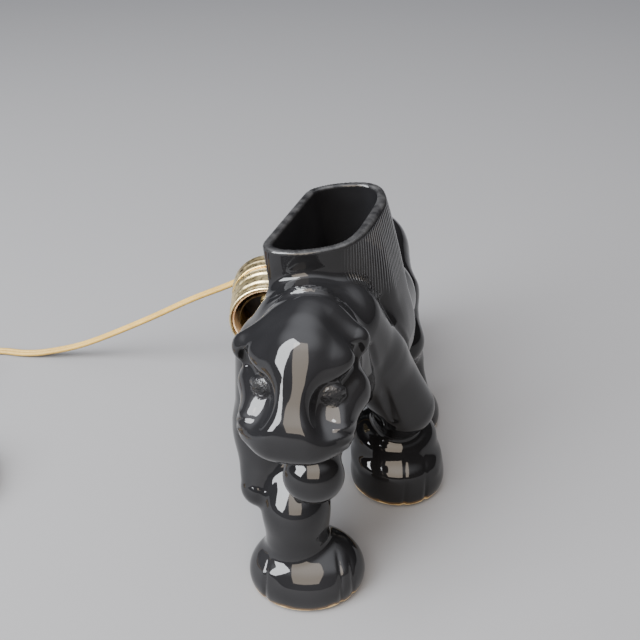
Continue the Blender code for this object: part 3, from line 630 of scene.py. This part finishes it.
def outline_field(points, corners, rounding):
    """Distance in plan to a convex outline, its sides' half planes joined by soft corners."""
    plan = points[:, :2]
    middle = np.mean(corners, axis=0)
    sides = []
    for a, b in zip(corners, corners[1:] + corners[:1]):
        a, b = np.array(a, float), np.array(b, float)
        out = np.array([b[1] - a[1], a[0] - b[0]]) / np.linalg.norm(b - a)
        if out @ (middle - a) > 0:
            out = -out
        sides.append((plan - a) @ out)
    most = np.maximum.reduce(sides)
    return most + rounding * np.log(sum(np.exp((side - most) / rounding) for side in sides))


def planter_wall(points, flare=0):
    """Distance to the planter's outside, as if it had no top or bottom. Its display side can flare downwards."""
    x, y, z = points.T
    shifted = points.copy()  # the front end leans forward as it goes down
    shifted[:, 0] -= FRONT_LEAN * (RIM_HEIGHT - z) * np.clip((-14 - x) / 43, 0, 1)
    if flare:  # it grows from the front end on, and mostly fades towards the rear
        below = np.clip((RIM_HEIGHT - z) / (RIM_HEIGHT - FLARE_BOTTOM), 0, 1.3) ** 0.75
        spread = 1 + flare * below * ease((x + 48) / 34) * (1 - 0.75 * ease((x - 2) / 24))
        shifted[:, 1] = np.where(y < FLARE_AXIS, FLARE_AXIS + (y - FLARE_AXIS) / spread, y)
    outline = outline_field(shifted, RIM_CORNERS, RIM_ROUNDING)
    leaning = (y - BACK_FACE - BACK_SLOPE * (z - BACK_LEAN_FROM)) / math.hypot(1, BACK_SLOPE)
    back = np.minimum(y - BACK_FACE, leaning)
    return carve(outline, -back, 2)


def planter(points):
    return np.maximum(planter_wall(points, FLARE), OUTSIDE_FLOOR - points[:, 2])


def figure(points):
    """The whole casting."""
    field = chain(points, TRUNK[0], 8)
    for stops in TRUNK[1:]:
        field = melt(field, limb(points, *stops), 8)
    for stops, low, high, blend in LIMBS:
        field = melt(field, near_box(points, low, high, 12, chain, stops, 6), blend)
    field = melt(field, near_box(points, *HEAD_BOX, 12, head), 4)
    for centre, *rest in PAWS.values():
        low, high = [c - PAW_REACH for c in centre], [c + PAW_REACH for c in centre]
        field = melt(field, near_box(points, low, high, 10, paw, centre, *rest), 3)
    field = melt(field, near_box(points, *FOREARM_BOX, 10, left_forearm), 9)
    field = melt(field, near_box(points, *PLANTER_BOX, 16, planter), 5)
    for path in CREASES:
        field = groove(points, field, path, CREASE_WIDTH, CREASE_DEPTH)
    lean = np.maximum(points[:, 2] - BACK_LEAN_FROM, 0) * BACK_SLOPE
    field = carve(field, np.maximum(block(points, *BAY), BACK_FACE + lean - points[:, 1]), 1.5)
    field = carve(field, np.maximum(planter_wall(points) + WALL, WELL_FLOOR - points[:, 2]), 1.5)
    field = carve(field, points[:, 2] - SOLE_HEIGHT, 0.6)
    field = carve(field, RIM_HEIGHT - points[:, 2], 1.2)
    bolt = np.hypot(points[:, 0] - BOLT_AT[0], points[:, 2] - BOLT_AT[1]) - BOLT_HOLE
    return carve(field, np.maximum(bolt, BOLT_FROM - points[:, 1]), 0.2)


# ---- skin ----
# The box that is skinned, and the spacing of the grid that finds where the surface is.
LOW = np.array((-124.0, -54.0, -2.0), np.float32)
HIGH = np.array((118.0, 64.0, 154.0), np.float32)
COARSE = 4.0
FINE, FINE_QUICK = 1.0, 2.0  # the skin's grid
CHUNK = 400000  # points evaluated at a time


def gradient(field, points):
    """The field's gradient, from four samples."""
    step = 0.15
    total = np.zeros_like(points)
    for corner in ((1, -1, -1), (-1, -1, 1), (-1, 1, -1), (1, 1, 1)):
        corner = np.array(corner, np.float32)
        total += corner * field(points + step * corner)[:, None]
    return total / (4 * step)


def grid_values(field, fine):
    """The field on a grid of the given spacing, exact near the surface and by sign elsewhere."""
    per = round(COARSE / fine)
    count = np.ceil((HIGH - LOW) / COARSE).astype(int)
    axes = [LOW[a] + COARSE * np.arange(count[a] + 1, dtype=np.float32) for a in range(3)]
    coarse = np.stack(np.meshgrid(*axes, indexing="ij"), axis=-1).reshape(-1, 3)
    values = field(coarse).reshape(count + 1)
    corners = [values[i:count[0] + i, j:count[1] + j, k:count[2] + k] for i, j, k in np.ndindex(2, 2, 2)]
    low, high = np.minimum.reduce(corners), np.maximum.reduce(corners)
    active = (low < COARSE) & (high > -COARSE)
    size = count * per + 1
    near = np.zeros(size, bool)
    sign = np.repeat(np.repeat(np.repeat(values, per, 0), per, 1), per, 2)[:size[0], :size[1], :size[2]]
    for i, j, k in np.argwhere(active):
        near[i * per:(i + 1) * per + 1, j * per:(j + 1) * per + 1, k * per:(k + 1) * per + 1] = True
    result = np.where(sign > 0, FAR, -FAR).astype(np.float32)
    index = np.argwhere(near)
    points = (LOW + fine * index).astype(np.float32)
    result[near] = np.concatenate([field(points[i:i + CHUNK]) for i in range(0, len(points), CHUNK)])
    return result


def skin(field, fine):
    """Quads over the field's surface (surface nets), pulled onto it, with the field's own normals."""
    values = grid_values(field, fine)
    inside = values < 0
    cells = tuple(n - 1 for n in values.shape)
    mixed = np.zeros(cells, bool)
    first = inside[:-1, :-1, :-1]
    for i, j, k in np.ndindex(2, 2, 2):
        mixed |= inside[i:cells[0] + i, j:cells[1] + j, k:cells[2] + k] != first
    number = np.full(cells, -1, np.int64)
    where = np.argwhere(mixed)
    number[mixed] = np.arange(len(where))
    total = np.zeros((len(where), 3))
    hits = np.zeros(len(where))
    for axis in range(3):
        others = [a for a in range(3) if a != axis]
        for corner in np.ndindex(2, 2):
            start = where.copy()
            start[:, others] += corner
            end = start.copy()
            end[:, axis] += 1
            a, b = values[tuple(start.T)], values[tuple(end.T)]
            crossing = (a < 0) != (b < 0)
            share = np.where(crossing, a / np.where(crossing, a - b, 1), 0)
            spot = start.astype(float)
            spot[:, axis] += share
            total[crossing] += spot[crossing]
            hits[crossing] += 1
    points = (LOW + fine * total / hits[:, None]).astype(np.float32)
    quads = []
    for axis in range(3):
        b, c = (axis + 1) % 3, (axis + 2) % 3
        edge = inside != np.roll(inside, -1, axis)
        edge.swapaxes(0, axis)[-1] = False
        for a in (b, c):
            edge.swapaxes(0, a)[[0, -1]] = False
        at = np.argwhere(edge)
        ring = []
        for back in ((0, 0), (-1, 0), (-1, -1), (0, -1)):
            cell = at.copy()
            cell[:, [b, c]] += back
            ring.append(number[tuple(cell.T)])
        ring = np.stack(ring, axis=1)
        flip = ~inside[tuple(at.T)]
        ring[flip] = ring[flip][:, ::-1]
        quads.append(ring)
    quads = np.concatenate(quads)
    for _ in range(2):
        slope = gradient(field, points)
        squared = np.maximum(np.einsum("ij,ij->i", slope, slope), 0.05)
        step = (field(points) / squared)[:, None] * slope
        points -= np.clip(step, -0.5 * fine, 0.5 * fine)
    normals = gradient(field, points)
    normals /= np.maximum(np.linalg.norm(normals, axis=1, keepdims=True), 1e-6)
    return points, quads, normals


def ceramic():
    points, quads, normals = skin(figure, FINE)
    mesh = bpy.data.meshes.new("ceramic_panther_glazed")
    metres = np.array(ORIGIN) + points * MM
    mesh.from_pydata(metres.tolist(), [], quads.tolist())
    mesh.shade_smooth()
    mesh.normals_split_custom_set_from_vertices(normals.tolist())
    piece("panther_glazed", mesh, GLAZE, ["ceramic_panther"])


ceramic()
for name in PAWS:
    finish_node(f"felt_pad_{name}", FELT)


# ---- socket ----
# The socket's own frame: its origin is the middle of the mouth, local Z runs to the cap and local X is up.
SOCKET_MOUTH = Vector((-19.8, 44.1, 90.4))
SOCKET_TURN = math.radians(19)
SOCKET_AXIS = Vector((math.cos(SOCKET_TURN), math.sin(SOCKET_TURN), 0))
SOCKET = Matrix.Translation(SOCKET_MOUTH) @ Matrix((
    (0, math.sin(SOCKET_TURN), math.cos(SOCKET_TURN), 0),
    (0, -math.cos(SOCKET_TURN), math.sin(SOCKET_TURN), 0),
    (1, 0, 0, 0),
    (0, 0, 0, 1),
))
SHELL_RADIUS = 18
SHEET = 0.4  # the socket's sheet metal
CAP_SHEET = 0.6
SHARP = math.radians(38)  # an edge sharper than this isn't shaded smooth
# Rolled beads round the shell: height, half width and how far they stand out.
SHELL_BEADS = [(7.9, 1.7, 0.75), (16.1, 1.7, 0.75), (3.7, 0.9, 0.22), (20.6, 0.8, 0.3)]
CAP_BEAD = (27.5, 1.1, 0.35)
BULB_THREAD = (13.5, 0.45, 3.63)  # mean radius, depth and pitch
PIPE_THREAD = (4.7, 0.15, 0.94)


def grid_mesh(name, rings, place=Matrix(), closed=False, caps=False):
    """Quads through rings of points in figure millimetres. closed joins the last ring to the first."""
    around = len(rings[0])
    spots = [placed(place @ Vector(p)) for ring in rings for p in ring]
    faces = []
    for i in range(len(rings) if closed else len(rings) - 1):
        a, b = i * around, (i + 1) % len(rings) * around
        for j in range(around):
            k = (j + 1) % around
            faces.append((a + j, a + k, b + k, b + j))
    if caps:
        faces += [tuple(range(around))[::-1], tuple(range(len(spots) - around, len(spots)))]
    mesh = bpy.data.meshes.new(name)
    mesh.from_pydata([tuple(s) for s in spots], [], faces)
    shape = bmesh.new()
    shape.from_mesh(mesh)
    bmesh.ops.recalc_face_normals(shape, faces=shape.faces)
    shape.to_mesh(mesh)
    shape.free()
    mesh.shade_smooth()
    mesh.set_sharp_from_angle(angle=SHARP)
    return mesh


def lathe(name, profile, place, wobble=None, sides=112):
    """Turns a closed profile of (radius, height) about Z. wobble(angle, height) adds to the radius."""
    rings = []
    for radius, height in profile:
        ring = []
        for i in range(sides):
            angle = 2 * math.pi * i / sides
            r = radius + (wobble(angle, height) if wobble else 0)
            ring.append((r * math.cos(angle), r * math.sin(angle), height))
        rings.append(ring)
    return grid_mesh(name, rings, place, closed=True)


def sheet_profile(outer, thickness):
    """A closed profile of sheet metal, from its outside line of (radius, height)."""
    inner = []
    for k, (radius, height) in enumerate(outer):
        before, after = outer[max(k - 1, 0)], outer[min(k + 1, len(outer) - 1)]
        way = Vector((after[0] - before[0], after[1] - before[1])).normalized()
        inner.append((radius - way.y * thickness, height + way.x * thickness))
    return outer + inner[::-1]


def bead(height, middle, half, lift):
    """How far a rolled bead stands out at a height."""
    return lift * math.cos(math.pi / 2 * min(abs(height - middle) / half, 1)) ** 2


def shell_line():
    """The shell's outside from its rolled mouth to its far end."""
    line = [(SHELL_RADIUS - 0.1 + 0.62 * math.cos(a), 0.7 - 0.62 * math.sin(a))
            for a in (math.pi * (1.25 - k / 8) for k in range(10))]
    for k in range(1, 84):
        height = 0.9 + 0.3 * k
        line.append((SHELL_RADIUS + sum(bead(height, *one) for one in SHELL_BEADS), height))
    return line


def cap_line():
    """The cap's outside, from its skirt over the dome to its hub."""
    r = SHELL_RADIUS + 0.9
    line = [(r - 0.2, 22.5), (r, 22.9)]
    line += [(r + bead(height, *CAP_BEAD), height) for height in (23 + 0.4 * k for k in range(24))]
    line += [(r - 0.1, 33), (r - 0.5, 34), (17.4, 35.6), (16, 37.3), (14.2, 38.7), (12.2, 39.8), (10.2, 40.6),
             (8.7, 41), (7.9, 41.5), (7.6, 42.2), (7.5, 44), (7.5, 46.4), (7.3, 46.9)]
    return line


def screw_thread(depth, pitch):
    """How far a rounded thread stands in or out of its mean radius."""
    return lambda angle, height: depth * math.sin(2 * math.pi * height / pitch - angle)


def socket():
    """The socket's metal and board in finer turned shapes. Its moulded pieces stay as the CAD has them."""
    mesh = lathe("shell", sheet_profile(shell_line(), SHEET), SOCKET)
    piece("socket_shell_beaded", mesh, GILT, ["socket_shell"])
    liner = [(17, 29.8), (17, 1.3), (16.8, 1), (16.2, 1), (16, 1.3), (16, 29.8)]
    piece("socket_liner", lathe("liner", liner, SOCKET), BOARD, ["shell_liner"])
    cap = lathe("cap", sheet_profile(cap_line(), CAP_SHEET), SOCKET)
    piece("socket_cap_domed", cap, GILT, ["socket_cap"])
    radius, *thread = BULB_THREAD
    heights = [3 + 0.3 * k for k in range(56)]
    wall = [(radius, z) for z in heights] + [(radius - SHEET, z) for z in reversed(heights)]
    mesh = lathe("thread", wall, SOCKET, screw_thread(*thread))
    # The thread's very dark brass is painted shade for the shadowed inside of the socket.
    piece("socket_thread", mesh, SHADE_DARKENED_BRASS, ["screw_shell"])
    radius, *thread = PIPE_THREAD
    bore = radius - 1.5
    heights = [42.6 + 0.12 * k for k in range(117)]
    wall = [(radius, z) for z in heights] + [(bore, heights[-1]), (bore, heights[0])]
    mesh = lathe("pipe", wall, SOCKET, screw_thread(*thread), sides=64)
    piece("socket_pipe", mesh, ZINC, ["socket_nipple"])


socket()
for names, material in (
    ("cap_insulator", BOARD),
    ("socket_core cord_bushing switch_wheel", PHENOLIC),
    ("centre_contact terminal_screw_a terminal_screw_b switch_screw switch_contact_a switch_contact_b plug_blade_a "
     "plug_blade_b", BRASS),
    ("hub_set_screw nipple_washer nipple_locknut socket_bracket outer_washer bracket_bolt inner_washer bracket_nut",
     ZINC),
):
    for name in names.split():
        finish_node(name, material)


# ---- cord ----
# The flat two-core cord lies on its flat side: from the socket down to the floor, through the switch, round the coil
# and over it to the plug. Route points are in figure millimetres.
CORD_WIDTH = 5.3
CORE_RADIUS = 1.4
CORE_OFFSET = CORD_WIDTH / 2 - CORE_RADIUS
CORD_START = SOCKET_MOUTH + SOCKET_AXIS * 58.7
LEAD_ROUTE = [
    CORD_START - SOCKET_AXIS * 4, CORD_START, (40.6, 65.6, 90), (45.4, 69.6, 86.4), (48.5, 76.3, 79),
    (49.4, 84.9, 71), (48.7, 95, 64), (44.8, 120, 51.5), (39.6, 148.8, 34.7), (31.1, 191.3, 12.8),
    (24.5, 218.5, 4.2), (20.6, 235, 1.9), (18.5, 250, 1.6), (13, 264, 1.8), (4.2, 270.6, 4),
    (-6.5, 272.2, 6.9), (-14.9, 269.8, 7.8), (-43.3, 260.5, 7.8),
]
LINK_ROUTE = [(-71.7, 251.3, 7.8), (-75.5, 250.1, 7.3), (-80.3, 248.5, 5.2), (-85.4, 246.8, 2.9)]
COIL_MIDDLE = Vector((-104.4, 209.1, 0.3))
COLUMNS = (32.7, 27.3)  # radii of the outer and the inner turns
LAYER = 2.85
COIL_FROM, COIL_TO = 119, 55 + 8 * 360  # degrees
COIL_STEP = 15
COIL_LAG = 108  # degrees that the turns are counted from
STEP_OVER = 0.78  # share of a turn after which the cord starts to step over
RELAX_FROM, RELAX_TO, RELAX_ROUNDS = 4, 60, 20  # points of the line whose bends are eased, near the socket
TIE_HALF_WIDTH, TIE_HALF_THICKNESS = 3.5, 0.22
TAIL_ROUTE = [(-110.7, 247.4, 9.2), (-118.8, 252.1, 8.5), (-129.2, 258, 7.6), (-133, 260.2, 7.6)]
SWITCH_TURN = Matrix.Rotation(math.radians(198), 4, "Z")
SWITCH = Matrix.Translation((-43.3, 260.5, 7.8)) @ SWITCH_TURN
PLUG = Matrix.Translation((-141.1, 264.9, 7.6)) @ Matrix.Rotation(math.radians(150), 4, "Z")


def coil_route():
    """Eight turns, two to a layer: in along one layer and out along the next. The cord steps over late in a turn."""
    columns = [0, 1, 1, 0, 0, 1, 1, 0]
    layers = [0, 0, 1, 1, 2, 2, 3, 3]
    route = []
    count = int((COIL_TO - COIL_FROM) / COIL_STEP)
    for k in range(count + 1):
        angle = COIL_FROM + (COIL_TO - COIL_FROM) * k / count
        turn = (angle - COIL_LAG) / 360
        n = min(int(turn), 7)
        m = min(n + 1, 7)
        step = ease((turn - n - STEP_OVER) / (1 - STEP_OVER))
        radius = COLUMNS[columns[n]] + (COLUMNS[columns[m]] - COLUMNS[columns[n]]) * step
        layer = layers[n] + (layers[m] - layers[n]) * step
        a = math.radians(angle)
        route.append(COIL_MIDDLE + Vector((radius * math.cos(a), radius * math.sin(a), CORE_RADIUS + LAYER * layer)))
    return route


def smooth_line(points, step):
    """Points about step apart on a smooth curve through the given points."""
    points = [Vector(p) for p in points]
    padded = [2 * points[0] - points[1]] + points + [2 * points[-1] - points[-2]]
    fine = []
    for a, b, c, d in zip(padded, padded[1:], padded[2:], padded[3:]):
        for k in range(24):
            t = k / 24
            fine.append(0.5 * (
                2 * b + (c - a) * t + (2 * a - 5 * b + 4 * c - d) * t * t + (3 * b - a - 3 * c + d) * t ** 3
            ))
    fine.append(points[-1])
    length = sum((q - p).length for p, q in zip(fine, fine[1:]))
    count = max(2, round(length / step))
    line, travelled, k = [fine[0]], 0, 1
    for p, q in zip(fine, fine[1:]):
        span = (q - p).length
        while k < count and travelled + span >= length * k / count:
            line.append(p.lerp(q, (length * k / count - travelled) / span))
            k += 1
        travelled += span
    return line + [fine[-1]]


def sweep(name, line, section):
    """Carries section(share), a list of (across, up) points, along a line with its flat side level."""
    rings = []
    for i, spot in enumerate(line):
        way = (line[min(i + 1, len(line) - 1)] - line[max(i - 1, 0)]).normalized()
        across = Vector((0, 0, 1)).cross(way).normalized()
        up = way.cross(across)
        rings.append([spot + across * a + up * b for a, b in section(i / (len(line) - 1))])
    return grid_mesh(name, rings, caps=True)


def two_cores(share):
    """The cord's section, the same all along: two round cores joined along their sides."""
    angles = [math.radians(-150 + 25 * k) for k in range(13)]
    half = [(CORE_OFFSET + CORE_RADIUS * math.cos(a), CORE_RADIUS * math.sin(a)) for a in angles]
    return half + [(-x, -y) for x, y in half]


def bulged(value, power):
    """Pushes a sine or cosine outwards, which squares up the circle that it belongs to."""
    return math.copysign(abs(value) ** (2 / power), value)


def egg(half_width, half_height, power, count=40):
    """A rounded box section as points, squarer with a higher power."""
    angles = [2 * math.pi * k / count for k in range(count)]
    return [(half_width * bulged(math.cos(a), power), half_height * bulged(math.sin(a), power)) for a in angles]


def cord():
    """The whole cord in one sweep. Gives the piece and its path in frame metres."""
    line = smooth_line(LEAD_ROUTE + LINK_ROUTE + coil_route() + TAIL_ROUTE, 2)
    for _ in range(RELAX_ROUNDS):
        for k in range(RELAX_FROM, RELAX_TO):
            line[k] = (line[k - 1] + 2 * line[k] + line[k + 1]) / 4
    made = piece("gold_cord", sweep("gold_cord", line, two_cores), VINYL,
                 ["cord_lead", "cord_link", "cord_coil", "cord_tail"])
    return made, [tuple(placed(p)) for p in smooth_line(line[::3] + line[-1:], 8)]


def tie():
    """A strip of paper round the coil's turns."""
    angle = math.radians(-35)
    out = Vector((math.cos(angle), math.sin(angle), 0))
    along = Vector((-out.y, out.x, 0)) * TIE_HALF_WIDTH
    rings = []
    for a, b in egg(6.1, 6, 5, 48):
        thick = Vector((a, b, 0)).normalized() * TIE_HALF_THICKNESS
        spot = COIL_MIDDLE + out * (sum(COLUMNS) / 2 + a) + Vector((0, 0, 6 + b))
        lift = out * thick.x + Vector((0, 0, thick.y))
        rings.append([spot - along - lift, spot + along - lift, spot + along + lift, spot - along + lift])
    return piece("coil_tie", grid_mesh("coil_tie", rings, closed=True), TIE)


def loft_along(name, stops, place):
    """A closed skin through rounded boxes, each (along, half width, half height, power)."""
    rings = [[(x, a, b) for a, b in egg(w, h, power)] for x, w, h, power in stops]
    return grid_mesh(name, rings, place, caps=True)


def plug():
    """A moulded plug with finger grips, and the ribbed relief that its cord leaves through."""
    # Stations from the cord's end to the blades: along, half width, half height, squareness.
    stops = [(-13.5, 4.6, 3.6, 2.4), (-13.3, 5.2, 4, 2.4)]
    for k in range(49):
        x = -13 + 0.5 * k
        grip = 0 if not 9 < k < 34 else 0.45 * math.cos(2 * math.pi * (k - 9) / 5) - 0.45
        swell = float(ease((x + 13) / 12))
        stops.append((x, 5.6 + 6.1 * swell + grip, 4.4 + 2.6 * swell + grip * 0.6, 2.4 + 2.2 * swell))
    stops += [(11.6, 12, 7.2, 4.6), (12.2, 12, 7.2, 4.6), (13.1, 11.8, 7, 4.6), (13.5, 11.2, 6.5, 4.6)]
    body = piece("plug_moulding", loft_along("plug_moulding", stops, PLUG), BROWN, ["plug_body"])
    line = smooth_line([(-129.6, 258.2, 7.6)] + TAIL_ROUTE[2::-1], 0.5)[:42]

    def ribbed(share):
        rib = 0.35 * math.cos(2 * math.pi * share * 8) * (1 if 0.08 < share < 0.95 else 0)
        return egg(4.6 - 1.5 * share + rib, 3.6 - 1.6 * share + rib, 2.3, 28)

    relief = piece("plug_relief", sweep("plug_relief", line, ribbed), BROWN)
    return body, relief


SWITCH_HALF = 29
SWITCH_POWER = 4.5  # how square its section is
WHEEL_AT = Vector((0, -5, 0))  # in the switch's own frame
# Round cuts for the wheel's pocket, its screw and the screw's head: radius, depth and height of the middle.
POCKET, BORE, SINK = (10.4, 5.2, 0), (1.8, 30, 0), (3.2, 3.2, 7.5)


def drill(made, radius, depth, height):
    """Cuts a round hole at the switch wheel's axis."""
    shape = bmesh.new()
    bmesh.ops.create_cone(shape, cap_ends=True, segments=64, radius1=radius * MM, radius2=radius * MM,
                          depth=depth * MM)
    mesh = bpy.data.meshes.new("drill")
    shape.to_mesh(mesh)
    shape.free()
    tool = add("drill", mesh)
    spot = SWITCH @ (WHEEL_AT + Vector((0, 0, height)))
    tool.matrix_world = Matrix.Translation(placed(spot)) @ SWITCH_TURN
    modifier = made.modifiers.new("drill", "BOOLEAN")
    modifier.operation, modifier.solver, modifier.object = "DIFFERENCE", "EXACT", tool
    bpy.context.view_layer.update()
    baked = bpy.data.meshes.new_from_object(made.evaluated_get(bpy.context.evaluated_depsgraph_get()))
    made.modifiers.clear()
    made.data = baked
    bpy.data.objects.remove(tool, do_unlink=True)


def switch():
    """The two halves of the thumb-wheel switch, waisted at their ends, with grip lines and a slot for the wheel."""
    made = []
    for name, side, cuts in (("switch_base", -1, (POCKET, BORE)), ("switch_cover", 1, (POCKET, BORE, SINK))):
        rings = []
        for k in range(73):
            x = SWITCH_HALF * (k / 36 - 1)
            reach = min((SWITCH_HALF - abs(x)) / 9, 1)
            swell = math.sqrt(max(1 - (1 - reach) ** 2, 0))
            width = 7.2 + 4.8 * swell
            grip = 0.3 * math.cos(math.pi * x / 1.2) - 0.3 if 14 < abs(x) < 24 else 0
            top = 5.4 + 1.95 * swell + grip
            ring = [(x, -width + 0.2, 0.15 * side), (x, -width, 0.8 * side)]
            for s in range(17):
                a = math.pi * s / 16
                up = 0.8 + (top - 0.65) * bulged(math.sin(a), SWITCH_POWER)
                ring.append((x, -width * bulged(math.cos(a), SWITCH_POWER), side * up))
            ring += [(x, width, 0.8 * side), (x, width - 0.2, 0.15 * side)]
            rings.append(ring)
        half = piece(name + "_moulding", grid_mesh(name, rings, SWITCH, caps=True), BROWN, [name])
        for cut in cuts:
            drill(half, *cut)
        half.data.set_sharp_from_angle(angle=SHARP)
        made.append(half)
    return made


gold_cord, cord_path = cord()
on_cord = [tie(), *plug(), *switch()]
on_cord += [NODES[n] for n in (
    "plug_blade_a", "plug_blade_b", "switch_wheel", "switch_screw", "switch_contact_a", "switch_contact_b",
)]


# ---- floor and light ----
FLOOR = (0.125, 0.125, 0.13)
SKY = (0.93, 0.95, 1)
SKY_RISE = {"From_Min": 0.40, "From_Max": 0.95, "To_Min": 0.04, "To_Max": 2.6}  # height on the sky to strength
LIT_POINT = (-50, 0, 90)  # what the lights face
LIGHT_DISTANCE = 1.5


def panel(name, toward, size, power, color):
    """A soft light seen from the lamp at an azimuth from the camera's side and an elevation, in degrees."""
    way = heading(180 + CAMERA_TURN - toward[0], toward[1])
    light = bpy.data.lights.new(name, "AREA")
    light.shape = "RECTANGLE"
    light.size, light.size_y = size
    light.energy = power
    light.color = color
    aim(add(name, light), placed(LIT_POINT) + way * LIGHT_DISTANCE, -way)


def stage_and_light():
    """A plain grey floor, a sky that is bright overhead, a window and a warm wall."""
    bpy.ops.mesh.primitive_plane_add(size=8, location=(0, 0, 0))
    floor = bpy.context.object
    floor.name = "floor"
    floor.data.materials.append(Finish("floor", FLOOR, 0.9).material)
    world = bpy.context.scene.world or bpy.data.worlds.new("world")
    bpy.context.scene.world = world
    world.use_nodes = True
    nodes, links = world.node_tree.nodes, world.node_tree.links
    direction = nodes.new("ShaderNodeTexCoord").outputs["Generated"]
    parts = nodes.new("ShaderNodeSeparateXYZ")
    links.new(direction, parts.inputs["Vector"])
    rise = fill(nodes.new("ShaderNodeMapRange"), **SKY_RISE)
    rise.interpolation_type = "SMOOTHSTEP"
    links.new(parts.outputs["Z"], rise.inputs["Value"])
    background = fill(nodes["Background"], Color=(*SKY, 1))
    links.new(rise.outputs["Result"], background.inputs["Strength"])
    panel("window", (57, 44), (0.85, 1.9), 145, (0.95, 0.98, 1))
    panel("warm_wall", (2, 44), (1.15, 1.8), 44, (1, 0.86, 0.70))


stage_and_light()
